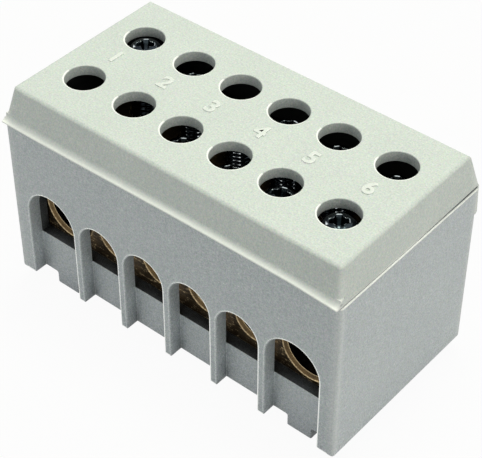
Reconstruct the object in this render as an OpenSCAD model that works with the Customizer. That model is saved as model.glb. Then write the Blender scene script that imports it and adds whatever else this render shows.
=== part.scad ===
// Power distribution block: a moulded housing with a wire entry arch for each
// terminal on both long sides, a drilled brass bar inside it with one clamp
// screw per terminal, and a push-on cover with a driver hole over each screw.
// Frame: X along the block, -Y the side with the cover's finger lip, +Z up,
// origin under the middle of the block at the level of its feet. Millimetres.

/* [Terminals] */
// Distance between neighbouring middle terminals
mid_pitch = 10; // [9.6:0.1:12]
// Distance from the last middle terminal to the larger end terminal
end_pitch = 11.05; // [10.8:0.05:13]
// Distance of each row of clamp screws from the side of the bar
screw_edge = 5.95; // [5:0.05:6.7]
// Bore of a middle terminal, for a 16 mm2 conductor
mid_bore_d = 7.2; // [6.6:0.1:7.4]
// Bore of an end terminal, for a 25 mm2 conductor
end_bore_d = 9.7; // [9:0.1:10]
// Chamfer at the mouth of each bore
bore_chamfer = 0.6; // [0.3:0.1:1.1]
// Height of the bores above the lower edge of the housing
axis_h = 14.2; // [13.6:0.1:15.4]

/* [Terminal bar] */
// Height of the brass bar
bar_h = 15.8; // [14.6:0.1:17.5]
// Width of the brass bar, the length of each bore
bar_w = 26.4; // [24:0.2:32]
// Gap between the bar and the housing at each end
bar_gap = 0.3; // [0.2:0.05:0.5]
// Gap between the bar and its side ribs
rib_gap = 0.15; // [0.05:0.05:0.3]

/* [Clamp screws] */
// Thread core diameter of the middle screws
mid_screw_d = 4.1; // [3.8:0.05:4.3]
// Thread core diameter of the end screws
end_screw_d = 4.9; // [4.6:0.05:5.1]
// Gap all round between a screw's thread core and its tapped hole
thread_gap = 0.05; // [0.02:0.01:0.09]
// Length of the middle screws under the head
mid_shank_l = 14; // [12:0.1:14.3]
// Length of the end screws under the head
end_shank_l = 13; // [11:0.1:13.1]
// Chamfer at the tip of each screw
tip_chamfer = 0.6; // [0.2:0.1:1]
// Head diameter of every clamp screw
head_d = 6; // [5.5:0.1:6.3]
// Height of the straight part of a head
head_h = 2; // [1.4:0.1:2.2]
// Height of the domed top of a head
dome_h = 1.3; // [0.6:0.1:1.4]
// Width of the cross recess in a head
recess_w = 0.9; // [0.6:0.1:1.2]
// Length of the cross recess in a head
recess_l = 3.6; // [2.8:0.1:4.2]
// Depth of the cross recess below the top of the dome
recess_depth = 1.7; // [1:0.1:2.4]

/* [Housing] */
// Width of an end wire entry
end_entry_w = 10.6; // [10:0.1:11]
// Width of a middle wire entry
mid_entry_w = 8.5; // [7.5:0.1:8.9]
// Height of the arches' centres above the bores
arch_up = 0.4; // [0:0.1:1]
// Width of the wall between an end entry and the end of the housing
pillar_w = 3.35; // [3.2:0.05:5]
// Thickness of the long side walls and depth of the fins between the entries
side_wall = 2.5; // [1.8:0.1:3.2]
// Thickness of the end walls
end_wall = 2.2; // [1.6:0.1:2.4]
// Width of the shelf between a side wall and the bar
shelf_w = 2; // [1.4:0.1:3]
// Height of the side walls
wall_h = 32.5; // [32:0.1:36]
// Radius of the four upright corners
corner_r = 0.5; // [0.2:0.1:2]
// Height of the bar's seat above the lower edge of the housing
seat_h = 8.2; // [7.4:0.1:8.6]
// Thickness of the seat plate and of its front and back aprons
seat_t = 2; // [1.5:0.1:2.6]
// Thickness of each rib that locates the bar sideways
rib_t = 1; // [0.8:0.05:1.1]
// Height of the locating ribs above the seat
rib_h = 13.5; // [8:0.5:15]
// Thickness of the web under the middle of the seat
web_t = 2; // [1.5:0.1:3]

/* [Feet] */
// Height of the feet below the lower edge of the housing
foot_h = 2.4; // [1.5:0.1:4]
// Width of each foot
foot_w = 5; // [4.2:0.1:7]
// Diameter of the blind fixing hole in each foot
pilot_d = 3.2; // [2.5:0.1:4]
// Depth of the fixing holes
pilot_depth = 9; // [6:0.5:9]
// Wall of the boss around each fixing hole
boss_wall = 2; // [1.5:0.1:3]

/* [Cover] */
// Height of the cover above the seam
cover_h = 6.3; // [6.2:0.1:9]
// Thickness of the cover's top plate
top_t = 2; // [1.6:0.1:2.6]
// Open seam between the housing and the cover
seam = 0.4; // [0.2:0.05:0.8]
// Step in from the end walls to the cover's ends
end_step = 0.3; // [0.1:0.05:0.6]
// Height of the upright band below the sloping sides
band_h = 0.6; // [0.3:0.1:1]
// Slope of the cover's ends, measured inwards at the top
end_slope = 1.15; // [0.5:0.05:1.4]
// Slope of the cover's long sides, measured inwards at the top
side_slope = 1.3; // [0.5:0.05:2]
// Diameter of the driver holes over the clamp screws
driver_d = 6.8; // [6.6:0.1:8]
// Reach of the finger lip and of the back skirt beyond the side walls
lip_out = 0.9; // [0.6:0.05:1.2]
// Thickness of the finger lip at its edge
lip_t = 0.3; // [0.2:0.05:0.6]
// Depth of the back skirt below the seam
skirt_drop = 6.2; // [3:0.1:9]
// Flare of the back skirt from the seam to its lower edge
skirt_flare = 0.5; // [0.2:0.05:0.55]
// Chamfer along the lower edge of the back skirt
skirt_chamfer = 0.35; // [0.1:0.05:0.5]
// Clearance between the cover and the walls that it fits in or over
cover_gap = 0.15; // [0.1:0.05:0.3]
// Thickness of the rim that plugs into the housing
plug_t = 1; // [0.8:0.05:1.2]
// Depth of the plug rim below the seam
plug_h = 2.9; // [1.5:0.1:4]
// Width of the tab at each end that holds the bar down
tab_w = 10; // [6:0.5:14]
// Gap between the tabs and the bar
tab_gap = 0.15; // [0.1:0.05:0.5]

/* [Hidden] */
$fn = 96;
// How far each head stands above the bar, from the -X end, front and back row
front_up = [8.0, 8.0, 9.1, 8.8, 9.8, 10.6];
back_up = [10.9, 9.0, 8.0, 9.1, 8.9, 8.7];
// Angle at which each screw was left
front_turn = [12, 75, 33, 60, 18, 40];
back_turn = [40, 66, 20, 84, 52, 30];

cut = 1; // overrun of a cutting shape past the face that it opens
WAYS = 6;
end_x = 1.5 * mid_pitch + end_pitch;
way_x = [-end_x, -1.5 * mid_pitch, -mid_pitch / 2, mid_pitch / 2, 1.5 * mid_pitch, end_x];

body_l = 2 * (end_x + end_entry_w / 2 + pillar_w);
cavity_l = body_l - 2 * end_wall;
cavity_w = bar_w + 2 * shelf_w;
row_y = bar_w / 2 - screw_edge;
body_w = cavity_w + 2 * side_wall;
apron_w = cavity_w - 2 * seat_t;
bar_l = cavity_l - 2 * bar_gap;

base_z = foot_h;
seat_z = base_z + seat_h;
axis_z = base_z + axis_h;
bar_top = seat_z + bar_h;
wall_top = base_z + wall_h;
cover_z = wall_top + seam;

cover_l = body_l - 2 * end_step;
plug_l = cavity_l - 2 * cover_gap;
plug_w = cavity_w - 2 * cover_gap;
lip_y = body_w / 2 + lip_out;

function screw_name(row, i) = str("clamp_screw_", row, "_", i + 1);
function is_end(i) = i == 0 || i == WAYS - 1;
function bore_d(i) = is_end(i) ? end_bore_d : mid_bore_d;
function entry_w(i) = is_end(i) ? end_entry_w : mid_entry_w;
function screw_d(i) = is_end(i) ? end_screw_d : mid_screw_d;
function shank_l(i) = is_end(i) ? end_shank_l : mid_shank_l;

// Extrudes a (Y, Z) outline along X, centred
module along_x(length) {
    rotate([90, 0, 90])
        linear_extrude(length, center = true)
            children();
}

// Extrudes an (X, Z) outline along Y, centred
module along_y(length) {
    rotate([90, 0, 0])
        linear_extrude(length, center = true)
            children();
}

module rounded_rectangle(length, width, radius) {
    square([length - 2 * radius, width], center = true);
    square([length, width - 2 * radius], center = true);
    for (sx = [-1, 1], sy = [-1, 1])
        translate([sx * (length / 2 - radius), sy * (width / 2 - radius)])
            circle(r = radius);
}

// A box centred on the Z axis, from one height to another
module block(length, width, from_z, to_z) {
    translate([-length / 2, -width / 2, from_z])
        cube([length, width, to_z - from_z]);
}

/* ---- housing ---- */

// The wire entry in one side wall: a slot between the fins up to the seat,
// and a round-headed arch above it that opens into the cavity
module wire_entry(i) {
    w = entry_w(i);
    reach = side_wall + cut;
    translate([way_x[i], -body_w / 2 - cut, 0]) {
        translate([-w / 2, 0, base_z - cut])
            cube([w, reach, seat_z - base_z + cut]);
        translate([-w / 2, 0, seat_z - cut])
            cube([w, reach, cut]);
        translate([-w / 2, 0, seat_z])
            cube([w, reach + cut, axis_z + arch_up - seat_z]);
        translate([0, reach + cut, axis_z + arch_up])
            rotate([90, 0, 0])
                cylinder(d = w, h = reach + cut);
    }
}

// A foot across the housing, with its web up to the seat plate
module foot() {
    block(foot_w, cavity_w, 0, seat_z - seat_t / 2);
    cylinder(d = pilot_d + 2 * boss_wall, h = seat_z - seat_t / 2);
}

// The two ribs at one end that locate the bar sideways
module bar_ribs() {
    rib_in = bar_w / 2 + rib_gap;
    rib_out = cavity_w / 2 + cut;
    for (sy = [-1, 1])
        mirror([0, sy < 0 ? 1 : 0, 0])
            translate([cavity_l / 2 - rib_t, rib_in, seat_z - cut])
                cube([rib_t + cut, rib_out - rib_in, rib_h + cut]);
}

module housing() {
    color([0.70, 0.73, 0.71])
    difference() {
        union() {
            difference() {
                translate([0, 0, base_z])
                    linear_extrude(wall_h)
                        rounded_rectangle(body_l, body_w, corner_r);
                block(cavity_l, cavity_w, seat_z, wall_top + cut);
                block(cavity_l, apron_w, base_z - cut, seat_z - seat_t);
                for (side = [0, 1], i = [0:WAYS - 1])
                    mirror([0, side, 0])
                        wire_entry(i);
            }
            block(web_t, apron_w + seat_t, base_z, seat_z - seat_t / 2);
            for (end = [0, 1])
                mirror([end, 0, 0]) {
                    translate([end_x, 0, 0])
                        foot();
                    bar_ribs();
                }
        }
        for (sx = [-1, 1])
            translate([sx * end_x, 0, -cut])
                cylinder(d = pilot_d, h = pilot_depth + cut);
    }
}

/* ---- terminal bar ---- */

// A bore right through the bar, chamfered at both mouths
module wire_bore(i) {
    d = bore_d(i);
    rotate([90, 0, 0])
        cylinder(d = d, h = bar_w + 2 * cut, center = true);
    for (side = [0, 1])
        mirror([0, side, 0])
            translate([0, -bar_w / 2, 0])
                rotate([-90, 0, 0])
                    translate([0, 0, -cut])
                        cylinder(d1 = d + 2 * (bore_chamfer + cut), d2 = d, h = bore_chamfer + cut);
}

module terminal_bar() {
    color([0.74, 0.60, 0.33])
    difference() {
        block(bar_l, bar_w, seat_z, bar_top);
        for (i = [0:WAYS - 1])
            translate([way_x[i], 0, axis_z]) {
                wire_bore(i);
                for (sy = [-1, 1])
                    translate([0, sy * row_y, 0])
                        cylinder(d = screw_d(i) + 2 * thread_gap, h = bar_top - axis_z + cut);
            }
    }
}

/* ---- clamp screws ---- */

module head_outline() {
    sphere_r = (pow(head_d / 2, 2) + pow(dome_h, 2)) / (2 * dome_h);
    cylinder(d = head_d, h = head_h);
    intersection() {
        translate([0, 0, head_h + dome_h - sphere_r])
            sphere(r = sphere_r);
        cylinder(d = head_d, h = head_h + dome_h);
    }
}

module cross_recess() {
    for (a = [0, 90])
        rotate([0, 0, a])
            block(recess_l, recess_w, head_h + dome_h - recess_depth, head_h + dome_h + cut);
}

// A domed clamp screw with its head's underside at height 0
module screw_body(d, length) {
    difference() {
        head_outline();
        cross_recess();
    }
    translate([0, 0, tip_chamfer - length])
        cylinder(d = d, h = length - tip_chamfer + head_h / 2);
    translate([0, 0, -length])
        cylinder(d1 = d - 2 * tip_chamfer, d2 = d, h = tip_chamfer);
}

module clamp_screw(i, side, up, turn) {
    color([0.42, 0.46, 0.50])
    translate([way_x[i], side * row_y, bar_top + up])
        rotate([0, 0, turn])
            screw_body(screw_d(i), shank_l(i));
}

/* ---- cover ---- */

// Outline of the cover across one direction: upright band, then the slope
module sloped_outline(width, slope) {
    polygon([
        [-width / 2, 0],
        [width / 2, 0],
        [width / 2, band_h],
        [width / 2 - slope, cover_h],
        [-width / 2 + slope, cover_h],
        [-width / 2, band_h]
    ]);
}

// The finger lip along the front, hollowed above its edge
module finger_lip() {
    root_y = body_w / 2 - plug_t;
    along_x(cover_l)
        difference() {
            translate([-lip_y, 0])
                square([lip_y - root_y, lip_t + lip_out]);
            translate([-lip_y, lip_t + lip_out])
                circle(r = lip_out);
        }
}

// The skirt that hangs over the back wall, flared towards its lower edge
module back_skirt() {
    inner_y = body_w / 2 + cover_gap;
    root_y = body_w / 2 - plug_t;
    along_x(cover_l)
        polygon([
            [inner_y, -skirt_drop],
            [lip_y - skirt_chamfer, -skirt_drop],
            [lip_y, skirt_chamfer - skirt_drop],
            [lip_y - skirt_flare, 0],
            [body_w / 2, band_h],
            [root_y, band_h],
            [root_y, 0],
            [inner_y, 0]
        ]);
}

// Hollow of the cover and of its plug rim, up to the top plate
module cover_hollow() {
    block(plug_l - 2 * plug_t, plug_w - 2 * plug_t, -plug_h - cut, cover_h - top_t);
}

// A tab on the plug rim that reaches down to the end of the bar
module hold_down_tab() {
    tab_end = bar_top + tab_gap - cover_z;
    translate([plug_l / 2 - plug_t, -tab_w / 2, tab_end])
        cube([plug_t, tab_w, -plug_h / 2 - tab_end]);
}

module cover() {
    color([0.84, 0.87, 0.82])
    translate([0, 0, cover_z]) {
        difference() {
            union() {
                intersection() {
                    along_x(cover_l) sloped_outline(body_w, side_slope);
                    along_y(body_w) sloped_outline(cover_l, end_slope);
                }
                block(plug_l, plug_w, -plug_h, band_h);
                finger_lip();
                back_skirt();
            }
            cover_hollow();
            for (i = [0:WAYS - 1], sy = [-1, 1])
                translate([way_x[i], sy * row_y, cover_h - top_t - cut])
                    cylinder(d = driver_d, h = top_t + 2 * cut);
        }
        for (end = [0, 1])
            mirror([end, 0, 0])
                hold_down_tab();
    }
}

housing();
terminal_bar();
cover();
for (i = [0:WAYS - 1]) {
    clamp_screw(i, -1, front_up[i], front_turn[i]);
    clamp_screw(i, 1, back_up[i], back_turn[i]);
}
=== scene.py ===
"""Dresses the power distribution block: housing, cover, terminal bar and clamp screws."""

import logging
import math
from collections.abc import Callable, Sequence
from dataclasses import dataclass, field
from enum import Enum
from functools import partial
from typing import Any

import bmesh
import bpy
from mathutils import Matrix, Vector


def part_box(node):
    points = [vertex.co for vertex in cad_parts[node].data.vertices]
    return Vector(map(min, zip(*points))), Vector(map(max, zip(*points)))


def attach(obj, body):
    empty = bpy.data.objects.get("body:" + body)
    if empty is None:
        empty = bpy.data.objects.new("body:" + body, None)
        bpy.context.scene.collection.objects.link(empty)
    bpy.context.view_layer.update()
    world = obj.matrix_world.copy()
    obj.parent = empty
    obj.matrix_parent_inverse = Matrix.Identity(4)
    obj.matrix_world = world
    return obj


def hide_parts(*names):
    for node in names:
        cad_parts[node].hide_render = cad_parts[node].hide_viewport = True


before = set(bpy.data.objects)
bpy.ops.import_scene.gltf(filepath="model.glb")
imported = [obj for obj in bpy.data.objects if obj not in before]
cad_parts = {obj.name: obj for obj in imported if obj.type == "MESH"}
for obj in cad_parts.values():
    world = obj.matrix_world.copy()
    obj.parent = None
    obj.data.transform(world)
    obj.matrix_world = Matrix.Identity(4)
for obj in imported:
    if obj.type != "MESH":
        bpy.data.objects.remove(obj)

LOG = logging.getLogger("distribution_block")
MM = 0.001
NEAR_MM = 0.05
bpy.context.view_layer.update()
WAYS = range(1, 7)
END_WAYS = (1, 6)

Triple = tuple[float, float, float]
Span = tuple[float, float]
Sockets = dict[str | int, Any]
Material = bpy.types.Material
Piece = bpy.types.Object
Mesh = bpy.types.Mesh
Work = bmesh.types.BMesh
Ring = list[bmesh.types.BMVert]
WHITE: Triple = (1.0, 1.0, 1.0)


class Row(Enum):
    """The two rows of terminals."""

    FRONT = "front"
    BACK = "back"


class Mark(Enum):
    """What the cover shows between the two rows."""

    NUMBERS = "numbers"
    BARE = "bare"


class Signal:
    """A shader socket; Python's operators on it add Math nodes."""

    def __init__(self, graph: "Graph", socket: bpy.types.NodeSocket) -> None:
        """Keep the socket and the graph it belongs to."""
        self.graph = graph
        self.socket = socket

    def output(self, name: str) -> "Signal":
        """Return another output of the same node."""
        return Signal(self.graph, self.socket.node.outputs[name])

    def math(self, operation: str, *others: Any, clamp: bool = False) -> "Signal":
        """Apply a Math operation with this as its first value; clamp keeps it from 0 to 1."""
        return self.graph.math(operation, self, *others, clamp=clamp)

    def __add__(self, other: Any) -> "Signal":
        """Add."""
        return self.math("ADD", other)

    __radd__ = __add__

    def __sub__(self, other: Any) -> "Signal":
        """Subtract."""
        return self.math("SUBTRACT", other)

    def __rsub__(self, other: Any) -> "Signal":
        """Subtract this from a number."""
        return self.graph.math("SUBTRACT", other, self)

    def __mul__(self, other: Any) -> "Signal":
        """Multiply."""
        return self.math("MULTIPLY", other)

    __rmul__ = __mul__

    def __abs__(self) -> "Signal":
        """Take the size without the sign."""
        return self.math("ABSOLUTE")

    def limited(self) -> "Signal":
        """Keep it from 0 to 1."""
        return self.math("ADD", 0.0, clamp=True)

    def ramp(self, low: float, high: float) -> "Signal":
        """Rise smoothly from 0 at low to 1 at high; it falls where low is above high."""
        sockets = {"Value": self, "From Min": low, "From Max": high}
        return self.graph.add(
            "ShaderNodeMapRange", {"interpolation_type": "SMOOTHSTEP"}, sockets
        )


@dataclass(frozen=True)
class Texture:
    """A noise texture: cells per millimetre, detail, roughness and stretch along each axis."""

    scale: float
    detail: float = 2.0
    rough: float = 0.5
    stretch: Triple = (1.0, 1.0, 1.0)


@dataclass(frozen=True)
class Band:
    """A slab along one axis with a soft border from low to high, in millimetres for a place.

    An axis with a bar, such as |X, means its size without the sign.
    """

    axis: str
    low: float
    high: float


Bands = tuple[Band, ...]


@dataclass(frozen=True)
class Zone:
    """A strip of the surface: bands for its place and bands for its normal."""

    where: Bands
    facing: Bands = ()
    reach_mm: float = 0.35
    strength: float = 0.9
    # glint: strength of a glow, a painted highlight that shines whatever the light.
    glint: float = 0.0


class Graph:
    """The node graph of one material or of the world."""

    edge_samples = 4
    bent_samples = 8
    shelter_samples = 8

    def __init__(self, tree: bpy.types.NodeTree) -> None:
        """Start from an empty tree."""
        self.tree = tree
        self.places: dict[Triple, Signal] = {}
        tree.nodes.clear()

    def add(
        self,
        kind: str,
        settings: dict[str, Any] | None = None,
        sockets: Sockets | None = None,
        output: str | int = 0,
    ) -> Signal:
        """Add one node.

        Args:
            kind: The node's type name.
            settings: Its settings, set before its sockets.
            sockets: Values or signals by input name or number.
            output: Which output the signal is.

        Returns:
            The chosen output, or the first input of a node that has none.
        """
        node = self.tree.nodes.new(kind)
        for key, value in (settings or {}).items():
            setattr(node, key, value)
        for key, value in (sockets or {}).items():
            socket = node.inputs[key]
            if isinstance(value, Signal):
                self.tree.links.new(value.socket, socket)
            elif isinstance(value, tuple) and socket.type == "RGBA":
                socket.default_value = (*value, 1.0)
            else:
                socket.default_value = value
        return Signal(self, node.outputs[output] if node.outputs else node.inputs[0])

    def math(self, operation: str, *values: Any, clamp: bool = False) -> Signal:
        """Add a Math node on numbers or signals."""
        settings = {"operation": operation, "use_clamp": clamp}
        return self.add("ShaderNodeMath", settings, dict(enumerate(values)))

    def vector(self, operation: str, *values: Any, output: str | int = 0) -> Signal:
        """Add a Vector Math node; for SCALE the second value is the factor."""
        sockets: Sockets = dict(enumerate(values))
        if operation == "SCALE":
            sockets = {0: values[0], "Scale": values[1]}
        return self.add("ShaderNodeVectorMath", {"operation": operation}, sockets, output)

    def mix(self, factor: Any, first: Any, second: Any) -> Signal:
        """Mix two colours; the factor, from 0 to 1, is the share of the second."""
        settings = {"data_type": "RGBA", "clamp_factor": True}
        return self.add("ShaderNodeMix", settings, {0: factor, 6: first, 7: second}, 2)

    def parts(self, vector: Signal) -> Signal:
        """Split a vector; the signal is its X, whose node has Y and Z too."""
        return self.add("ShaderNodeSeparateXYZ", None, {0: vector}, "X")

    def place(self, stretch: Triple = (1.0, 1.0, 1.0)) -> Signal:
        """Give the piece's own coordinates in millimetres, stretched along each axis."""
        if stretch not in self.places:
            point = self.add("ShaderNodeTexCoord", output="Object")
            scale = tuple(axis / MM for axis in stretch)
            self.places[stretch] = self.vector("MULTIPLY", point, scale)
        return self.places[stretch]

    def texture(self, texture: Texture) -> Signal:
        """Add a noise texture."""
        sockets = {"Scale": texture.scale, "Detail": texture.detail, "Roughness": texture.rough}
        sockets["Vector"] = self.place(texture.stretch)
        return self.add("ShaderNodeTexNoise", None, sockets)

    def bent(self, radius_mm: float, samples: int = bent_samples) -> Signal:
        """Give the normal as edges of that radius would bend it."""
        return self.add("ShaderNodeBevel", {"samples": samples}, {"Radius": radius_mm * MM})

    def edge(self, radius_mm: float, bend: Span = (0.995, 0.86)) -> Signal:
        """Mark the edges: 0 at the first cosine of the bend, rising to 1 at the second."""
        flat = self.add("ShaderNodeNewGeometry", output="Normal")
        bent = self.bent(radius_mm, self.edge_samples)
        return self.vector("DOT_PRODUCT", bent, flat, output="Value").ramp(*bend)

    def shelter(self, reach_mm: float) -> Signal:
        """Give how open the surroundings are: 1 in the open, near 0 deep in a hollow."""
        settings = {"samples": self.shelter_samples}
        reach = {"Distance": reach_mm * MM}
        return self.add("ShaderNodeAmbientOcclusion", settings, reach, "AO")

    def inside(self, source: Signal, bands: Sequence[Band]) -> Any:
        """Mark where a vector lies in all the bands.

        Args:
            source: A place in millimetres, or a normal.
            bands: The bands.

        Returns:
            The mark, from 0 to 1.
        """
        parts = self.parts(source)
        mask: Any = 1.0
        for band in bands:
            value = parts.output(band.axis[-1])
            value = abs(value) if band.axis.startswith("|") else value
            mask = value.ramp(band.low, band.high) * mask
        return mask

    def zone(self, zone: Zone) -> Signal:
        """Mark a zone: its place and the normal, bent near an edge, both have to fit."""
        mask = self.inside(self.place(), zone.where) * zone.strength
        if zone.facing:
            mask = mask * self.inside(self.bent(zone.reach_mm), zone.facing)
        return mask

    def bump(self, height: Signal, strength: float, depth_mm: float) -> Signal:
        """Turn a height into a normal."""
        sockets = {"Height": height, "Strength": strength, "Distance": depth_mm * MM}
        return self.add("ShaderNodeBump", None, sockets)


def new_material(name: str) -> tuple[Material, Graph]:
    """Make an empty material and its graph."""
    material = bpy.data.materials.new(name)
    material.use_nodes = True
    return material, Graph(material.node_tree)


def surface(graph: Graph, sockets: Sockets) -> None:
    """Finish a graph with one Principled shader."""
    shader = graph.add("ShaderNodeBsdfPrincipled", None, sockets)
    graph.add("ShaderNodeOutputMaterial", None, {"Surface": shader})


@dataclass(frozen=True)
class MouldedPlastic:
    """Pale moulded plastic with a fine spark-eroded grain.

    The highlight rims are painted highlights in a pale colour, and some of them glow; the edges
    are paler as part wear, part painted highlight. The grain is stronger where the surface is
    sheltered. Painted shade darkens the colour where the surroundings close in, and a shaded
    hollow goes dark as far as it is enclosed.
    """

    name: str
    colour: Triple
    shade: Triple
    rims: tuple[Zone, ...] = ()
    hollows: tuple[Zone, ...] = ()
    # Pale colour of real wear on pits and scuffs, and of the painted highlights on edges and
    # rims, also of their glow.
    worn: Triple = (0.93, 0.95, 0.92)
    clouds: Texture = Texture(0.09, 3.0, 0.55)
    flow: Texture = Texture(0.35, 3.0, 0.6, (1.0, 0.25, 0.08))
    streaks: Texture = Texture(1.1, 2.0, 0.6, (0.9, 0.12, 2.6))
    speckle: Texture = Texture(3.8, 2.0, 0.6)
    pits: Texture = Texture(1.71, 2.0, 0.6)
    cloud_tone: float = 0.9
    flow_tone: float = 0.5
    shade_share: float = 0.35
    pit_pale: float = 0.3
    scuff_pale: float = 0.25
    # Edges are painted paler: part wear, part painted highlight.
    edge_pale: float = 0.75
    edge_mm: float = 0.24
    grain_tone: float = 0.62
    grain_tint: float = 0.4
    grain_pits: float = 0.4
    grain_sheltered: float = 1.2
    grain_depth_mm: float = 0.016
    grain_bump: float = 0.5
    roughness: float = 0.5
    specular: float = 0.4
    # The shelter and cavity fields paint shade: the colour darkens where the surroundings close
    # in, and more in the enclosed hollows.
    shelter_mm: float = 9.0
    shelter_span: Span = (0.18, 0.55)
    shelter_tone: float = 0.14
    cavity_mm: float = 40.0
    cavity_span: Span = (0.6, 0.2)

    def material(self) -> Material:
        """Build the material."""
        material, graph = new_material(self.name)
        clouds = graph.texture(self.clouds)
        speckle = graph.texture(self.speckle)
        pits = graph.texture(self.pits)
        flow = graph.texture(self.flow)
        scuffs = graph.texture(self.streaks).ramp(0.68, 0.76) * clouds.ramp(0.45, 0.62)
        edge = graph.edge(self.edge_mm) * pits.ramp(0.3, 0.5)
        # pale sums the rims' painted highlights; glint makes some of them glow as painted
        # highlights.
        pale: Any = 0.0
        glint: Any = 0.0
        for rim in self.rims:
            mask = graph.zone(rim)
            pale = mask + pale
            if rim.glint:
                glint = mask * rim.glint + glint

        blend = (clouds - 0.5) * self.cloud_tone + (flow - 0.5) * self.flow_tone
        base = graph.mix((blend + self.shade_share).limited(), self.colour, self.shade)
        base = graph.mix(pits.ramp(0.68, 0.8) * self.pit_pale, base, self.worn)
        base = graph.mix(scuffs * self.scuff_pale, base, self.worn)
        gain, offset = (self.grain_tint,) * 3, (1.0 - self.grain_tint / 2,) * 3
        tint = graph.vector("MULTIPLY_ADD", speckle.output("Color"), gain, offset)
        base = graph.vector("MULTIPLY", base, tint)
        open_air = graph.shelter(self.shelter_mm)
        grain = (speckle - 0.5 + (pits - 0.5) * self.grain_pits) * self.grain_tone
        sheltered = 1.0 + self.grain_sheltered - open_air * self.grain_sheltered
        base = graph.vector("SCALE", base, grain * sheltered + 1.0)
        # Painted shade: darker where the surroundings close in, and darker still in the enclosed
        # hollows.
        tone = open_air.ramp(*self.shelter_span) * (1.0 - self.shelter_tone) + self.shelter_tone
        closed = graph.shelter(self.cavity_mm).ramp(*self.cavity_span)
        for hollow in self.hollows:
            tone = tone * (1.0 - graph.zone(hollow) * closed)
        base = graph.vector("SCALE", base, tone)
        # The edges and the rims are painted pale here: painted highlight, and on the edges also
        # wear.
        base = graph.mix((edge * tone * self.edge_pale + pale).limited(), base, self.worn)

        height = speckle * 0.6 + pits * 0.5 + clouds * 0.8 - scuffs * 0.25
        rough = (speckle - 0.5) * 0.2 + (clouds - 0.5) * 0.12 - edge * 0.08
        # The emission is a painted highlight: the glinting rims glow whatever the light.
        surface(
            graph,
            {
                "Base Color": base,
                "Roughness": (rough + scuffs * 0.1 + self.roughness).limited(),
                "Specular IOR Level": self.specular,
                "Emission Color": graph.vector("SCALE", self.worn, glint),
                "Emission Strength": 1.0,
                "Normal": graph.bump(height, self.grain_bump, self.grain_depth_mm),
            },
        )
        return material


@dataclass(frozen=True)
class DrilledBrass:
    """Drawn brass with a brown skin, bright where a tool has cut it.

    The bands tell a bore's parts by how far they face along Y: its wall, its chamfer, the bright
    lines on the chamfer's two edges, and the bar's face round it. The bore's wall is painted near
    black as shade, and the whole bar is darkened as painted shade where it is enclosed.
    """

    name: str = "brass_bar_finish"
    bright: Triple = (0.74, 0.58, 0.34)
    gilt: Triple = (0.15, 0.1, 0.045)
    skin: Triple = (0.05, 0.033, 0.016)
    stain: Triple = (0.02, 0.014, 0.008)
    # Painted shade: the near-black colour of the bore's wall.
    soot: Triple = (0.012, 0.008, 0.005)
    blotch: Texture = Texture(0.8, 5.0, 0.7)
    speck: Texture = Texture(3.2, 3.0, 0.7)
    drawn: Texture = Texture(2.2, 2.0, 0.6, (0.06, 3.0, 3.0))
    rings: Texture = Texture(1.2, 2.0, 0.5, (0.5, 9.0, 0.5))
    slant: Texture = Texture(1.3, 3.0, 0.6, (0.5, 1.0, 1.6))
    wall: Bands = (Band("|Y", 0.3, 0.12), Band("|Z", 0.995, 0.97))
    chamfer: Bands = (Band("|Y", 0.3, 0.55), Band("|Y", 0.95, 0.84))
    face: Bands = (Band("|Y", 0.86, 0.95),)
    outer_line: Bands = (Band("|Y", 0.75, 0.83), Band("|Y", 0.99, 0.96))
    inner_line: Bands = (Band("|Y", 0.12, 0.3), Band("|Y", 0.67, 0.58))
    line_mm: float = 0.16
    edge_mm: float = 0.2
    edge_bend: Span = (0.998, 0.965)
    # The shelter fields paint shade: the bar darkens where its surroundings close in.
    shelter_mm: float = 6.0
    shelter_span: Span = (0.0, 0.45)
    shelter_tone: float = 0.1
    roughness: float = 0.42
    grain_depth_mm: float = 0.035
    grain_bump: float = 0.7

    def material(self) -> Material:
        """Build the material."""
        material, graph = new_material(self.name)
        blotch = graph.texture(self.blotch)
        speck = graph.texture(self.speck)
        drawn = graph.texture(self.drawn)
        slant = graph.texture(self.slant)
        normal = graph.add("ShaderNodeTexCoord", output="Normal")
        chamfer = graph.inside(normal, self.chamfer)
        face = graph.inside(normal, self.face)
        bent = graph.bent(self.line_mm)
        lines = graph.inside(bent, self.outer_line) + graph.inside(bent, self.inner_line)
        lines = lines * (speck.ramp(0.4, 0.6) * 0.6 + 0.25)
        wear = graph.edge(self.edge_mm, self.edge_bend) * blotch.ramp(0.3, 0.42)
        wear = (wear + lines).limited()

        tarnish = (blotch.ramp(0.4, 0.68) * 0.8 + speck.ramp(0.52, 0.72) * 0.6).limited()
        gleam = slant.ramp(0.52, 0.66) * speck.ramp(0.45, 0.6) * face
        base = graph.mix(drawn.ramp(0.35, 0.65) * 0.35, self.skin, self.gilt)
        base = graph.mix(tarnish * 0.85, base, self.stain)
        base = graph.mix(gleam * 0.8, base, self.bright)
        # Painted shade: the bore's wall goes near black.
        base = graph.mix(graph.inside(normal, self.wall), base, self.soot)
        base = graph.mix(chamfer * (speck.ramp(0.4, 0.62) * 0.5 + 0.3), base, self.gilt)
        base = graph.mix(wear * 0.95, base, self.bright)
        # Painted shade: darker where the surroundings close in.
        shelter = graph.shelter(self.shelter_mm).ramp(*self.shelter_span)
        tone = shelter * (1.0 - self.shelter_tone) + self.shelter_tone
        base = graph.vector("SCALE", base, tone)

        height = drawn + speck + graph.texture(self.rings) + slant * face
        rough = tarnish * 0.2 + (speck - 0.5) * 0.2 - chamfer * 0.1 - wear * 0.1
        surface(
            graph,
            {
                "Base Color": base,
                "Metallic": (1.0 - tarnish * 0.35).limited(),
                "Roughness": (rough + self.roughness).limited(),
                "Normal": graph.bump(height * 0.5, self.grain_bump, self.grain_depth_mm),
            },
        )
        return material


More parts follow.
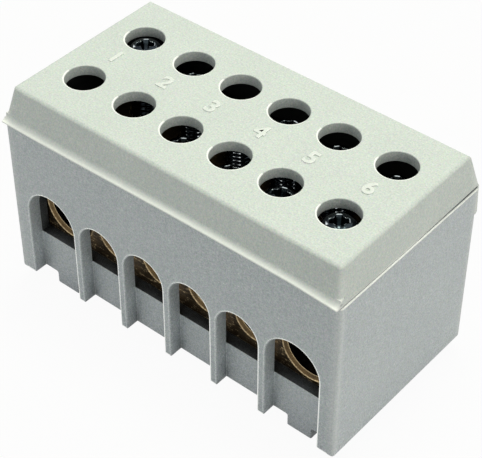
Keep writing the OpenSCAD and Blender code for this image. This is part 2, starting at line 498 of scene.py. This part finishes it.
@dataclass(frozen=True)
class ZincPlate:
    """Blue-passivated zinc on a cold-headed steel screw, painted far darker than zinc as shade.

    The glint is a painted highlight that glows whatever the light: it lies on the rim of the
    recess, at the end of the arm that faces -Y. The recess's edges are paler, part rubbing and
    part painted highlight.
    """

    name: str = "zinc_screws"
    # Painted shade: the plate and dull colours are much darker than zinc, for the deep holes the
    # heads sit in.
    plate: Triple = (0.04, 0.052, 0.06)
    dull: Triple = (0.01, 0.014, 0.018)
    # Colour of real rubbed marks, and of the painted highlights on the recess's edges and the
    # glint's glow.
    rubbed: Triple = (0.86, 0.93, 0.94)
    blotch: Texture = Texture(0.9, 4.0, 0.6)
    grain: Texture = Texture(7.0, 3.0, 0.6)
    marks: Texture = Texture(1.3, 2.0, 0.6, (6.0, 0.8, 1.0))
    edge_mm: float = 0.16
    # Edges near the recess are painted paler: part rubbing, part painted highlight.
    edge_pale: float = 0.08
    recess_pale: float = 0.2
    recess_span: Span = (2.3, 2.0)
    # Strength of the glint's glow, a painted highlight.
    glint: float = 1.0
    glint_mm: float = 0.2
    glint_facing: Bands = (Band("Y", -0.22, -0.36), Band("Z", 0.02, 0.16))
    arm_start: Span = (1.5, 1.6)
    arm_end: Span = (2.1, 2.0)
    arm_side: Span = (0.68, 0.58)
    roughness: float = 0.17
    grain_depth_mm: float = 0.012
    grain_bump: float = 0.3

    def material(self) -> Material:
        """Build the material."""
        material, graph = new_material(self.name)
        blotch = graph.texture(self.blotch)
        grain = graph.texture(self.grain)
        marks = graph.texture(self.marks)
        across = graph.vector("MULTIPLY", graph.place(), (1.0, 1.0, 0.0))
        radius = graph.vector("LENGTH", across, output="Value")
        recess = radius.ramp(*self.recess_span)
        edge = graph.edge(self.edge_mm) * blotch.ramp(0.35, 0.48)

        # Painted shade in the dark plate colours.
        base = graph.mix(blotch.ramp(0.3, 0.7), self.plate, self.dull)
        base = graph.mix(marks.ramp(0.66, 0.74) * 0.4, base, self.rubbed)
        # Edges near the recess are paler: part rubbing, part painted highlight.
        pale = recess * self.recess_pale + self.edge_pale
        base = graph.mix(edge * pale, base, self.rubbed)
        height = grain * 0.5 + marks * 0.4
        rough = (blotch - 0.5) * 0.12 + (grain - 0.5) * 0.1
        # Painted highlight: the glint at the far arm's tip glows as emission.
        glint = self.arm_tips(graph) * graph.inside(graph.bent(self.glint_mm), self.glint_facing)
        surface(
            graph,
            {
                "Base Color": base,
                "Metallic": 1.0,
                "Roughness": (rough + self.roughness).limited(),
                "Emission Color": graph.vector("SCALE", self.rubbed, glint * self.glint),
                "Emission Strength": 1.0,
                "Normal": graph.bump(height, self.grain_bump, self.grain_depth_mm),
            },
        )
        return material

    def arm_tips(self, graph: Graph) -> Signal:
        """Mark the tips of the recess's four arms."""
        parts = graph.parts(graph.place())
        x, y = abs(parts), abs(parts.output("Y"))
        along, aside = x.math("MAXIMUM", y), x.math("MINIMUM", y)
        tips = along.ramp(*self.arm_start) * along.ramp(*self.arm_end)
        return tips * aside.ramp(*self.arm_side)


@dataclass(frozen=True)
class StudioFloor:
    """A plain white floor that keeps a faint shadow and is clear from below."""

    name: str = "studio_floor"
    colour: Triple = (0.60, 0.60, 0.60)
    glow: float = 0.95

    def material(self) -> Material:
        """Build the material."""
        material, graph = new_material(self.name)
        matt = graph.add("ShaderNodeBsdfDiffuse", None, {"Color": self.colour})
        white = graph.add("ShaderNodeEmission", None, {"Color": WHITE})
        seen = seen_directly(graph)
        shader = graph.add("ShaderNodeMixShader", None, {0: seen * self.glow, 1: matt, 2: white})
        clear = graph.add("ShaderNodeBsdfTransparent")
        below = graph.add("ShaderNodeNewGeometry", output="Backfacing")
        shader = graph.add("ShaderNodeMixShader", None, {0: below, 1: shader, 2: clear})
        graph.add("ShaderNodeOutputMaterial", None, {"Surface": shader})
        return material


def seen_directly(graph: Graph) -> Signal:
    """Give 1 for what the camera, a reflection or a refraction sees, and 0 for light."""
    path = graph.add("ShaderNodeLightPath", output="Is Camera Ray")
    seen = path + path.output("Is Glossy Ray") + path.output("Is Transmission Ray")
    return seen.limited()


def add_object(name: str, data: bpy.types.ID) -> Piece:
    """Link a new object that shows the data."""
    made = bpy.data.objects.new(name, data)
    bpy.context.scene.collection.objects.link(made)
    return made


def apply_modifiers(target: Piece) -> None:
    """Apply an object's modifiers to a mesh of its own."""
    bpy.context.view_layer.update()
    graph = bpy.context.evaluated_depsgraph_get()
    mesh = bpy.data.meshes.new_from_object(target.evaluated_get(graph))
    mesh.name = target.name
    target.modifiers.clear()
    target.data = mesh


def smooth(mesh: Mesh, sharp_degrees: float) -> None:
    """Shade smooth, apart from the edges that are sharper than an angle."""
    mesh.shade_smooth()
    mesh.set_sharp_from_angle(angle=math.radians(sharp_degrees))


def finish_normals(target: Piece, sharp_degrees: float = 38.0) -> None:
    """Shade smooth with true flats: sharp corners stay and wide faces rule the normals."""
    smooth(target.data, sharp_degrees)
    modifier = target.modifiers.new("face_normals", "WEIGHTED_NORMAL")
    modifier.keep_sharp = True
    modifier.weight = 50


def cut_away(target: Piece, tool: Piece) -> None:
    """Subtract a tool from a piece and remove the tool."""
    modifier = target.modifiers.new("cut", "BOOLEAN")
    modifier.operation = "DIFFERENCE"
    modifier.solver = "EXACT"
    modifier.object = tool
    apply_modifiers(target)
    bpy.data.objects.remove(tool)


def finished(work: Work, name: str) -> Mesh:
    """Turn the work into a new mesh."""
    mesh = bpy.data.meshes.new(name)
    work.to_mesh(mesh)
    work.free()
    return mesh


def solid(work: Work, name: str) -> Mesh:
    """Turn closed work into a new mesh with its faces outward."""
    bmesh.ops.recalc_face_normals(work, faces=work.faces)
    return finished(work, name)


def joined(meshes: Sequence[Mesh], name: str) -> Mesh:
    """Join meshes into a new one and remove them."""
    work = bmesh.new()
    for mesh in meshes:
        work.from_mesh(mesh)
        bpy.data.meshes.remove(mesh)
    return finished(work, name)


def limited(value: float) -> float:
    """Keep a number from 0 to 1."""
    return min(1.0, max(0.0, value))


def eased(value: float, low: float, high: float) -> float:
    """Rise smoothly from 0 at low to 1 at high."""
    share = limited((value - low) / (high - low))
    return share * share * (3.0 - 2.0 * share)


@dataclass(frozen=True)
class Rounding:
    """The radius of the edges whose middle lies where a test says, in millimetres."""

    radius_mm: float
    where: Callable[[Vector], bool]


@dataclass
class SoftEdges:
    """Rounds the sharp edges of a copied solid, each kind by its own radius.

    The cuts say where wide faces are split along X, in metres, so that none runs round a hole.
    """

    usual_mm: float
    special: Sequence[Rounding] = ()
    cuts: Sequence[float] = ()
    steps: int = 3
    least_degrees: float = 24.0
    flat_degrees: float = 0.4
    weld_mm: float = 0.002
    cut_mm: float = 0.02

    def radius_at(self, middle: Vector) -> float:
        """Give an edge's radius in millimetres from its middle point."""
        fitting = (rule.radius_mm for rule in self.special if rule.where(middle / MM))
        return next(fitting, self.usual_mm)

    def split(self, work: Work, middle: float, across: Vector) -> None:
        """Split the faces at a plane and mark the cut, so that it isn't merged again."""
        made = bmesh.ops.bisect_plane(
            work,
            geom=[*work.verts, *work.edges, *work.faces],
            dist=self.cut_mm * MM,
            plane_co=across * middle,
            plane_no=across,
        )
        for part in made["geom_cut"]:
            if isinstance(part, bmesh.types.BMEdge):
                part.seam = True

    def apply(self, target: Piece) -> None:
        """Merge the flat facets, weigh the sharp edges and bevel them."""
        mesh = target.data
        work = bmesh.new()
        work.from_mesh(mesh)
        bmesh.ops.remove_doubles(work, verts=work.verts, dist=self.weld_mm * MM)
        for cut in self.cuts:
            self.split(work, cut, Vector((1, 0, 0)))
        self.split(work, 0.0, Vector((0, 1, 0)))
        bmesh.ops.dissolve_limit(
            work,
            angle_limit=math.radians(self.flat_degrees),
            verts=work.verts,
            edges=work.edges,
            delimit={"SEAM"},
        )
        widest = max([self.usual_mm, *(rule.radius_mm for rule in self.special)])
        weight = work.edges.layers.float.new("bevel_weight_edge")
        least = math.radians(self.least_degrees)
        for edge in work.edges:
            if len(edge.link_faces) == 2 and edge.calc_face_angle() > least:
                middle = (edge.verts[0].co + edge.verts[1].co) / 2
                edge[weight] = self.radius_at(middle) / widest
        work.to_mesh(mesh)
        work.free()
        bevel = target.modifiers.new("edges", "BEVEL")
        bevel.limit_method = "WEIGHT"
        bevel.width = widest * MM
        bevel.segments = self.steps
        bevel.use_clamp_overlap = False
        bevel.miter_outer = "MITER_ARC"
        apply_modifiers(target)


def copy_of_node(node: str, name: str) -> Piece:
    """Copy a CAD node's solid, without its custom normals, into a new piece of that name."""
    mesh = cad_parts[node].data.copy()
    mesh.materials.clear()
    if "custom_normal" in mesh.attributes:
        mesh.attributes.remove(mesh.attributes["custom_normal"])
    return add_object(name, mesh)


def paint(target: Piece, material: Material) -> None:
    """Give a piece its material, in a slot of its own."""
    target.data.materials.clear()
    target.data.materials.append(material)


def box_top(node: str) -> Vector:
    """Give the upper corner of a CAD node's box, in millimetres."""
    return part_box(node)[1] / MM


def screw_node(row: Row, way: int) -> str:
    """Name a clamp screw's CAD node, which is its body's name too."""
    return f"clamp_screw_{row.value}_{way}"


def screw_axis(row: Row, way: int) -> Vector:
    """Give where a clamp screw's axis meets the floor's level."""
    low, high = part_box(screw_node(row, way))
    return Vector(((low.x + high.x) / 2, (low.y + high.y) / 2, 0.0))


def way_cuts() -> list[float]:
    """Give where to split wide faces along X: in the middle and at each way."""
    return [0.0, *(screw_axis(Row.FRONT, way).x for way in WAYS)]


def ring_round(
    work: Work, around: int, height: float, radius: Callable[[float], float]
) -> Ring:
    """Lay a ring of vertices round Z.

    Args:
        work: The mesh that it is added to.
        around: How many vertices it has.
        height: Its height in millimetres.
        radius: Gives its radius in millimetres at a share of the turn.

    Returns:
        The ring.
    """
    ring = []
    for step in range(around):
        turn = step / around
        angle, out = 2 * math.pi * turn, radius(turn) * MM
        ring.append(work.verts.new((out * math.cos(angle), out * math.sin(angle), height * MM)))
    return ring


def skin(work: Work, low: Ring, high: Ring) -> None:
    """Close the gap from a ring up to the next; one of them may be a single point."""
    around = max(len(low), len(high))
    for step in range(around):
        following = (step + 1) % around
        corners = [low[step % len(low)], low[following % len(low)]]
        corners += [high[following % len(high)], high[step % len(high)]]
        work.faces.new(list(dict.fromkeys(corners)))


def lathe(work: Work, profile: Sequence[Span], around: int) -> None:
    """Turn a closed profile round Z.

    Args:
        work: The mesh that it is added to.
        profile: Radius and height in millimetres, from the bottom of the axis to its top.
        around: Steps round the axis.
    """
    rings = [
        ring_round(work, around if out else 1, up, lambda turn, out=out: out)
        for out, up in profile
    ]
    for low, high in zip(rings, rings[1:]):
        skin(work, low, high)


@dataclass
class Housing:
    """The lower moulding with walls, fins, wire entries, seat and feet."""

    finish: MouldedPlastic
    edge_mm: float = 0.14
    arch_mm: float = 0.2
    arch_below_z: float = 30.0
    foot_mm: float = 0.25
    foot_below_z: float = 2.45
    inner_mm: float = 0.05
    seat_wall_y: Span = (15.1, 15.3)
    seat_wall_z: float = 23.0

    def build(self) -> Piece:
        """Copy the solid and round its edges."""
        top = box_top("housing")
        side, rim = top.y - NEAR_MM, top.z - NEAR_MM
        near, far = self.seat_wall_y
        rules = [
            Rounding(self.foot_mm, lambda p: p.z < self.foot_below_z),
            Rounding(self.arch_mm, lambda p: abs(p.y) > side and p.z < self.arch_below_z),
            Rounding(self.inner_mm, lambda p: near < abs(p.y) < far and p.z < self.seat_wall_z),
            Rounding(self.inner_mm, lambda p: p.z > rim),
        ]
        piece = copy_of_node("housing", "housing_moulding")
        SoftEdges(self.edge_mm, rules, way_cuts()).apply(piece)
        finish_normals(piece)
        return piece

    def dress(self, piece: Piece) -> None:
        """Finish the moulding and put it in the place of its CAD node."""
        paint(piece, self.finish.material())
        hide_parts("housing")
        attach(piece, "block")


@dataclass
class Cover:
    """The upper moulding with its driver holes, finger lip and back skirt.

    Fields on x, y or z are places in the frame, in millimetres; the others are sizes. The seam
    closes where y is seam_from_y and is fully open seam_over_mm behind it.
    """

    finish: MouldedPlastic
    mark: Mark = Mark.NUMBERS
    edge_mm: float = 0.12
    top_mm: float = 0.6
    top_from_x: float = 31.5
    top_from_y: float = 14.5
    top_level_mm: float = 0.02
    hole_mm: float = 0.2
    hole_inset_mm: float = 3.0
    corner_mm: float = 0.7
    corner_from_x: float = 33.3
    corner_from_z: float = 37.0
    corner_under_mm: float = 0.2
    end_x: float = 34.3
    lip_end_mm: float = 0.2
    lip_end_y: float = -17.72
    rim_mm: float = 0.04
    rim_below_z: float = 35.45
    seam_mm: float = 0.4
    seam_from_y: float = -2.0
    seam_over_mm: float = 16.0
    settle_mm: float = 0.42
    settle_full_mm: float = 0.4
    settle_to_mm: float = 1.3
    lip_y: float = -17.0
    bow_mm: float = 0.62
    bow_rise_x: Span = (-30.0, 12.0)
    bow_fall_x: Span = (30.0, 34.3)
    bow_fall: float = 0.75
    flash_mm: float = 0.25
    flash_x: float = -34.2
    flash_y: float = -17.8
    slope_lean: float = 1.3 / 5.7
    slope_foot_mm: float = 0.6
    slope_blend_mm: float = 0.75
    slope_reach_mm: float = 0.2
    skirt_under_mm: float = 0.7
    skirt_draw_mm: float = 0.1
    digit_mm: float = 3.1
    digit_per_size: float = 1.35
    digit_bold_mm: float = 0.03
    digit_rise_mm: float = 0.2
    digit_round_mm: float = 0.1
    digit_sink_mm: float = 0.02

    def roundings(self) -> list[Rounding]:
        """Give the edges that are rounded by a radius of their own."""
        corner = box_top("cover")
        top = corner.z - self.top_level_mm
        inner = corner.y - self.hole_inset_mm
        far_x, far_y, side = self.top_from_x, self.top_from_y, self.corner_from_x
        low, high = self.corner_from_z, corner.z - self.corner_under_mm
        return [
            Rounding(self.top_mm, lambda p: p.z > top and (abs(p.y) > far_y or abs(p.x) > far_x)),
            Rounding(self.hole_mm, lambda p: p.z > top and abs(p.y) < inner),
            Rounding(self.corner_mm, lambda p: abs(p.x) > side and p.y < 0 and low < p.z < high),
            Rounding(self.lip_end_mm, lambda p: abs(p.x) > self.end_x and p.y < self.lip_end_y),
            Rounding(self.rim_mm, lambda p: abs(p.x) > self.end_x and p.z < self.rim_below_z),
        ]

    def build(self) -> list[Piece]:
        """Copy the solid, round its edges and raise the numbers."""
        piece = copy_of_node("cover", "cover_moulding")
        SoftEdges(self.edge_mm, self.roundings(), way_cuts()).apply(piece)
        self.blend_lip(piece)
        self.settle(piece)
        finish_normals(piece)
        pieces = [piece]
        if self.mark is Mark.NUMBERS:
            pieces.append(self.numbers())
        return pieces

    def blend_lip(self, piece: Piece) -> None:
        """Run the lip's hollow into the slope and draw the skirt in to the wall."""
        wall = box_top("housing")
        side, near = wall.y, wall.y + self.slope_reach_mm
        foot = wall.z + self.seam_mm + self.slope_foot_mm
        for vertex in piece.data.vertices:
            point = vertex.co / MM
            rise = point.z - foot
            if 0 < rise < self.slope_blend_mm and point.y < -side + self.slope_reach_mm:
                lean = self.slope_lean * rise
                vertex.co.y = max(point.y, min(point.y + lean, lean - side)) * MM
            if rise < -self.skirt_under_mm and side < point.y < near:
                vertex.co.y -= self.skirt_draw_mm * MM

    def settle(self, piece: Piece) -> None:
        """Let the rim sit down on the front wall, with a seam that opens towards the back."""
        rim = box_top("housing").z + self.seam_mm
        upper = rim + self.settle_to_mm
        for vertex in piece.data.vertices:
            point = vertex.co / MM
            if not rim - NEAR_MM <= point.z <= upper:
                continue
            share = min(1.0, (upper - point.z) / (self.settle_to_mm - self.settle_full_mm))
            back = limited((point.y - self.seam_from_y) / self.seam_over_mm)
            vertex.co.z -= self.settle_mm * share * (1.0 - back) * MM
            if point.y < self.lip_y:
                fall = self.bow_fall * eased(point.x, *self.bow_fall_x)
                bow = eased(point.x, *self.bow_rise_x) - fall
                vertex.co.z += self.bow_mm * bow * share * MM
            if point.x < self.flash_x and point.y < self.flash_y:
                vertex.co.x -= self.flash_mm * MM

    def numbers(self) -> Piece:
        """Raise one number between each pair of driver holes."""
        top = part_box("cover")[1].z
        raised = []
        for way in WAYS:
            text = bpy.data.curves.new(f"number_{way}", "FONT")
            text.body = str(way)
            text.size = self.digit_mm * self.digit_per_size * MM
            text.align_x = "CENTER"
            text.align_y = "CENTER"
            text.offset = self.digit_bold_mm * MM
            text.extrude = (self.digit_rise_mm + self.digit_sink_mm - self.digit_round_mm) * MM
            text.bevel_depth = self.digit_round_mm * MM
            text.bevel_resolution = 3
            text.resolution_u = 5
            digit = add_object(f"number_{way}", text)
            digit.location = (screw_axis(Row.FRONT, way).x, 0.0, top - self.digit_sink_mm * MM)
            bpy.context.view_layer.update()
            evaluated = digit.evaluated_get(bpy.context.evaluated_depsgraph_get())
            mesh = bpy.data.meshes.new_from_object(evaluated)
            mesh.transform(digit.matrix_world)
            bpy.data.objects.remove(digit)
            raised.append(mesh)
        mesh = joined(raised, "cover_numbers")
        smooth(mesh, 40.0)
        return add_object("cover_numbers", mesh)

    def dress(self, pieces: list[Piece]) -> None:
        """Finish the moulding and its numbers, which ride together."""
        material = self.finish.material()
        for piece in pieces:
            paint(piece, material)
            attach(piece, "cover")
        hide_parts("cover")


@dataclass
class TerminalBar:
    """The drilled brass bar with its tapped holes opened to the thread's size."""

    finish: DrilledBrass
    middle_thread_mm: float = 5.0
    end_thread_mm: float = 5.8
    play_mm: float = 0.12
    countersink_mm: float = 0.35
    drill_over_mm: float = 0.3
    drill_from_z: float = 17.2
    drill_around: int = 40
    edge_mm: float = 0.1
    inside_mm: float = 0.5

    def build(self) -> Piece:
        """Copy the solid, open the tapped holes and round the edges."""
        piece = copy_of_node("terminal_bar", "brass_bar")
        corner = box_top("terminal_bar")
        tools = [self.drill(row, way, corner.z) for row in Row for way in WAYS]
        cut_away(piece, add_object("drills", joined(tools, "drills")))
        side, top = corner.y - NEAR_MM, corner.z - self.inside_mm
        inside = Rounding(0.0, lambda p: abs(p.y) < side and p.z < top)
        SoftEdges(self.edge_mm, [inside], way_cuts(), steps=2).apply(piece)
        finish_normals(piece)
        return piece

    def drill(self, row: Row, way: int, top: float) -> Mesh:
        """Model the tool that opens one tapped hole down from the bar's top."""
        wide = self.end_thread_mm if way in END_WAYS else self.middle_thread_mm
        radius = wide / 2 + self.play_mm
        over = top + self.drill_over_mm
        profile = [
            (0, self.drill_from_z),
            (radius, self.drill_from_z),
            (radius, top - self.countersink_mm),
            (radius + self.countersink_mm + self.drill_over_mm, over),
            (0, over),
        ]
        work = bmesh.new()
        lathe(work, profile, self.drill_around)
        bmesh.ops.translate(work, verts=work.verts, vec=screw_axis(row, way))
        return solid(work, "drill")

    def dress(self, piece: Piece) -> None:
        """Finish the bar and put it in the place of its CAD node."""
        paint(piece, self.finish.material())
        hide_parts("terminal_bar")
        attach(piece, "block")


@dataclass
class ClampScrew:
    """A pan-head machine screw with a cross recess and a rolled thread.

    The recess's levels run up from its floor: millimetres above the floor, then how far the arms
    reach and how wide they are, as shares of their size at the head's top.
    """

    thread_mm: float
    core_mm: float
    pitch_mm: float
    shank_mm: float
    head_mm: float = 5.96
    head_side_mm: float = 2.0
    head_foot_mm: float = 0.12
    head_edge_mm: float = 0.12
    dome_mm: float = 1.3
    dome_from_mm: float = 0.22
    dome_steps: int = 12
    dome_fullness: Span = (0.72, 1.08)
    neck_mm: float = 0.7
    tip_mm: float = 0.6
    tip_chamfer_mm: float = 0.45
    tip_lip_mm: float = 0.15
    flank_steep: float = 1.35
    flank_low: float = 0.12
    recess_mm: float = 3.4
    recess_wide_mm: float = 0.92
    recess_deep_mm: float = 1.75
    recess_tip_mm: float = 0.25
    recess_levels: tuple[Triple, ...] = ((0.0, 0.42, 0.72), (0.85, 0.72, 0.9), (2.15, 1.08, 1.06))
    web_share: float = 1.5
    around: int = 40
    per_pitch: int = 8

    def build(self, name: str) -> Mesh:
        """Model one screw, with the underside of its head at height 0."""
        return joined([self.head(), self.shank()], name)

    def head(self) -> Mesh:
        """Turn the domed head and sink the cross recess."""
        radius, foot = self.head_mm / 2, self.head_foot_mm
        side = self.head_side_mm - self.dome_from_mm
        out_power, up_power = self.dome_fullness
        profile = [(0, 0), (radius - foot, 0), (radius, foot), (radius, side)]
        for step in range(1, self.dome_steps + 1):
            angle = math.pi / 2 * step / self.dome_steps
            out = radius * math.cos(angle) ** out_power
            up = side + (self.dome_mm + self.dome_from_mm) * math.sin(angle) ** up_power
            profile.append((out if step < self.dome_steps else 0, up))
        work = bmesh.new()
        lathe(work, profile, self.around)
        piece = add_object("head", solid(work, "head"))
        cut_away(piece, self.recess())
        piece.data.shade_smooth()
        SoftEdges(self.head_edge_mm, least_degrees=32.0).apply(piece)
        made = piece.data
        smooth(made, 42.0)
        bpy.data.objects.remove(piece)
        return made

    def recess(self) -> Piece:
        """Model the driver's tapering cross point as a cutting tool."""
        floor = self.head_side_mm + self.dome_mm - self.recess_deep_mm
        work = bmesh.new()
        arm = self.recess_mm / 2
        half = self.recess_wide_mm / 2
        web = half * self.web_share
        rings = []
        for level, reach, width in self.recess_levels:
            out, side, inner = arm * reach, half * width, web * width
            ring = []
            for quarter in range(4):
                turn = Matrix.Rotation(quarter * math.pi / 2, 3, "Z")
                for x, y in ((out, -side), (out, side), (inner, inner)):
                    ring.append(work.verts.new(turn @ Vector((x, y, floor + level)) * MM))
            rings.append(ring)
        for low, high in zip(rings, rings[1:]):
            skin(work, low, high)
        tip = work.verts.new((0, 0, (floor - self.recess_tip_mm) * MM))
        skin(work, [tip], rings[0])
        work.faces.new(rings[-1])
        return add_object("recess", solid(work, "recess"))

    def radius_at(self, down: float, turn: float) -> float:
        """Give the shank's radius at a depth under the head and a share of a turn."""
        core, crest = self.core_mm / 2, self.thread_mm / 2
        phase = (down / self.pitch_mm + turn) % 1.0
        ridge = limited((1.0 - abs(2.0 * phase - 1.0)) * self.flank_steep - self.flank_low)
        grown = limited((down - self.neck_mm) / self.pitch_mm)
        radius = core + (crest - core) * ridge * grown
        to_tip = (self.shank_mm - down) / self.tip_mm
        if to_tip < 1.0:
            chamfer = self.tip_chamfer_mm * (1.0 - max(to_tip, 0.0))
            radius = min(radius, core - chamfer + self.tip_lip_mm * to_tip)
        return radius

    def shank(self) -> Mesh:
        """Roll the thread as a height field on a cylinder that ends in a chamfered tip."""
        count = round(self.shank_mm / self.pitch_mm * self.per_pitch)
        work = bmesh.new()
        rings = []
        for level in range(count + 1):
            down = self.shank_mm * level / count
            rings.append(ring_round(work, self.around, -down, partial(self.radius_at, down)))
        rings.append([work.verts.new((0, 0, -self.shank_mm * MM))])
        for high, low in zip(rings, rings[1:]):
            skin(work, low, high)
        mesh = finished(work, "shank")
        mesh.shade_smooth()
        return mesh


@dataclass
class ScrewRows:
    """All twelve clamp screws, each at its own height and angle."""

    finish: ZincPlate
    middle: ClampScrew = field(default_factory=lambda: ClampScrew(5.0, 4.1, 0.8, 14.0))
    end: ClampScrew = field(default_factory=lambda: ClampScrew(5.8, 4.9, 1.0, 13.0))
    front_turns: Sequence[float] = (12, 75, 33, 60, 18, 40)
    back_turns: Sequence[float] = (40, 66, 20, 84, 52, 30)

    def build(self) -> list[tuple[Piece, str]]:
        """Model both sizes once and place a copy in each hole."""
        middle, end = self.middle.build("middle_screw"), self.end.build("end_screw")
        made = []
        for row, turns in zip(Row, (self.front_turns, self.back_turns)):
            for way, turn in zip(WAYS, turns):
                size, mesh = (self.end, end) if way in END_WAYS else (self.middle, middle)
                node = screw_node(row, way)
                piece = add_object(f"screw_{row.value}_{way}", mesh)
                piece.location = screw_axis(row, way)
                piece.location.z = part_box(node)[1].z - (size.head_side_mm + size.dome_mm) * MM
                piece.rotation_euler.z = math.radians(turn)
                made.append((piece, node))
        return made

    def dress(self, made: list[tuple[Piece, str]]) -> None:
        """Plate the screws and let each ride on its own body."""
        material = self.finish.material()
        for piece, node in made:
            paint(piece, material)
            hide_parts(node)
            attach(piece, node)


@dataclass(frozen=True)
class SoftBox:
    """A square lamp: its place and side in metres, and its light, where 1 is plain white."""

    name: str
    place: Triple
    size: float
    level: float
    colour: Triple = WHITE


@dataclass
class Studio:
    """The floor, the lights, the world and the camera, in metres and degrees."""

    azimuth: float = 39.88
    elevation: float = 41.78
    roll: float = 0.125
    distance: float = 0.2694
    target: Triple = (-0.0045, 0.0067, 0.0114)
    lens_mm: float = 115.47
    sensor_mm: float = 36.0
    clip: float = 0.01
    ambient: float = 0.44
    floor_size: float = 3.0
    floor_drop_mm: float = 0.01
    lit_point: Triple = (0.0, 0.0, 0.03)
    lamps: Sequence[SoftBox] = (
        SoftBox("overhead", (-0.04, 0.12, 0.60), 0.22, 0.66, (0.975, 1.0, 0.83)),
        SoftBox("right_side", (0.65, 0.02, 0.30), 0.35, 0.205, (1.0, 0.95, 0.86)),
        SoftBox("front_fill", (-0.26, -0.26, 0.12), 0.2, 0.05),
    )

    def floor(self) -> None:
        """Lay the floor, just under the feet."""
        work = bmesh.new()
        bmesh.ops.create_grid(work, x_segments=1, y_segments=1, size=self.floor_size)
        floor = add_object("floor", finished(work, "floor"))
        floor.location.z = -self.floor_drop_mm * MM
        floor.data.materials.append(StudioFloor().material())

    def world(self) -> None:
        """Light softly from all round, white where it is seen."""
        world = bpy.data.worlds.new("studio")
        world.use_nodes = True
        bpy.context.scene.world = world
        graph = Graph(world.node_tree)
        strength = seen_directly(graph) * (1.0 - self.ambient) + self.ambient
        shader = graph.add("ShaderNodeBackground", None, {"Color": WHITE, "Strength": strength})
        graph.add("ShaderNodeOutputWorld", None, {"Surface": shader})

    def hang(self, box: SoftBox) -> None:
        """Hang a lamp so that it faces the block and gives it the lamp's level of light."""
        light = bpy.data.lights.new(box.name, "AREA")
        light.color = box.colour
        light.shape = "SQUARE"
        light.size = box.size
        away = Vector(box.place) - Vector(self.lit_point)
        light.energy = box.level * math.pi * math.pi * away.length_squared
        lamp = add_object(box.name, light)
        lamp.location = box.place
        lamp.rotation_euler = away.to_track_quat("Z", "Y").to_euler()

    def camera(self) -> None:
        """Stand the camera at its viewing angle."""
        turn, rise = math.radians(self.azimuth), math.radians(self.elevation)
        flat = math.cos(rise)
        right = Vector((math.cos(turn), math.sin(turn), 0))
        back = Vector((math.sin(turn) * flat, -math.cos(turn) * flat, math.sin(rise)))
        pose = Matrix((right, back.cross(right), back)).transposed().to_4x4()
        pose = pose @ Matrix.Rotation(math.radians(self.roll), 4, "Z")
        pose.translation = Vector(self.target) + back * self.distance
        data = bpy.data.cameras.new("camera")
        data.lens = self.lens_mm
        data.sensor_width = self.sensor_mm
        data.sensor_fit = "HORIZONTAL"
        data.clip_start = self.clip
        camera = add_object("camera", data)
        camera.matrix_world = pose
        bpy.context.scene.camera = camera

    def build(self) -> None:
        """Set up the whole studio."""
        bpy.context.scene.view_settings.view_transform = "Standard"
        self.floor()
        self.world()
        for box in self.lamps:
            self.hang(box)
        self.camera()


def housing_finish() -> MouldedPlastic:
    """Describe the housing's plastic: painted highlights on the arches, which glow, the upper rim
    and the corners, and painted shade inside.
    """
    # Painted highlights: the arches' rims glow, the upper rim and the vertical corners are
    # painted pale.
    arches = Zone(
        (Band("|Y", 17.46, 17.52), Band("|X", 33.6, 33.5), Band("Z", 30.0, 29.9)),
        (Band("|Y", 0.9995, 0.985), Band("X", 0.22, 0.12)),
        reach_mm=0.45,
        strength=1.0,
        glint=0.45,
    )
    upper_rim = Zone((Band("Z", 34.72, 34.8), Band("|X", 34.35, 34.5)), strength=0.75)
    corners = Zone((Band("|X", 32.6, 34.4), Band("|Y", 16.0, 17.4)), strength=0.22)
    # Painted shade: the cavity's inside is darkened.
    cavity = (Band("|X", 32.64, 32.58), Band("|Y", 15.3, 15.24), Band("Z", 10.5, 10.56))
    return MouldedPlastic(
        "housing_plastic_finish",
        colour=(0.535, 0.582, 0.60),
        shade=(0.48, 0.53, 0.555),
        rims=(arches, upper_rim, corners),
        hollows=(Zone(cavity, strength=0.97),),
        grain_tone=0.9,
    )


def cover_finish() -> MouldedPlastic:
    """Describe the cover's plastic: painted highlights on the holes' rims, which glow, the seams,
    lip, corners and number tops, and painted shade inside.
    """
    aside = (Band("|Y", 12.0, 11.9), Band("|Y", 2.5, 2.6), Band("|X", 31.0, 30.9))
    holes = (Band("Z", 41.3, 41.4), *aside)
    under_seam = Band("Z", 35.2, 35.1)
    # Painted shade: the inside under the top is darkened.
    cavity = (Band("|X", 32.5, 32.3), Band("|Y", 15.1, 14.9), Band("Z", 39.72, 39.62))
    # Painted highlights: the holes' near rims glow; the seam along the ends and the front, the
    # lip, the number tops and the corners are painted pale.
    rims = (
        Zone(holes, (Band("|Z", 0.9998, 0.99), Band("Y", 0.01, 0.06)), glint=0.12),
        Zone((under_seam, Band("Y", 17.6, 17.5), Band("|X", 33.8, 34.1))),
        Zone((under_seam, Band("Y", -16.9, -17.1))),
        Zone((Band("Y", -17.5, -18.2), Band("Z", 36.9, 35.9)), strength=0.6),
        Zone((Band("Z", 41.63, 41.66),), strength=0.35),
        Zone((Band("|X", 32.4, 34.0), Band("|Y", 15.6, 17.2)), strength=0.25),
    )
    return MouldedPlastic(
        "cover_plastic_finish",
        colour=(0.62, 0.672, 0.64),
        shade=(0.55, 0.60, 0.575),
        rims=rims,
        hollows=(Zone(cavity, strength=0.95),),
        shelter_tone=0.36,
        grain_tone=0.48,
    )


def main() -> None:
    """Build every sub-assembly in order and log each one as it is made."""
    logging.basicConfig(level=logging.INFO, format="%(name)s: %(message)s")
    assemblies = {
        "housing": Housing(housing_finish()),
        "terminal bar": TerminalBar(DrilledBrass()),
        "clamp screws": ScrewRows(ZincPlate()),
        "cover": Cover(cover_finish()),
    }
    for name, assembly in assemblies.items():
        assembly.dress(assembly.build())
        LOG.info("%s made", name)
    Studio().build()
    LOG.info("studio made")


if __name__ == "__main__":
    main()
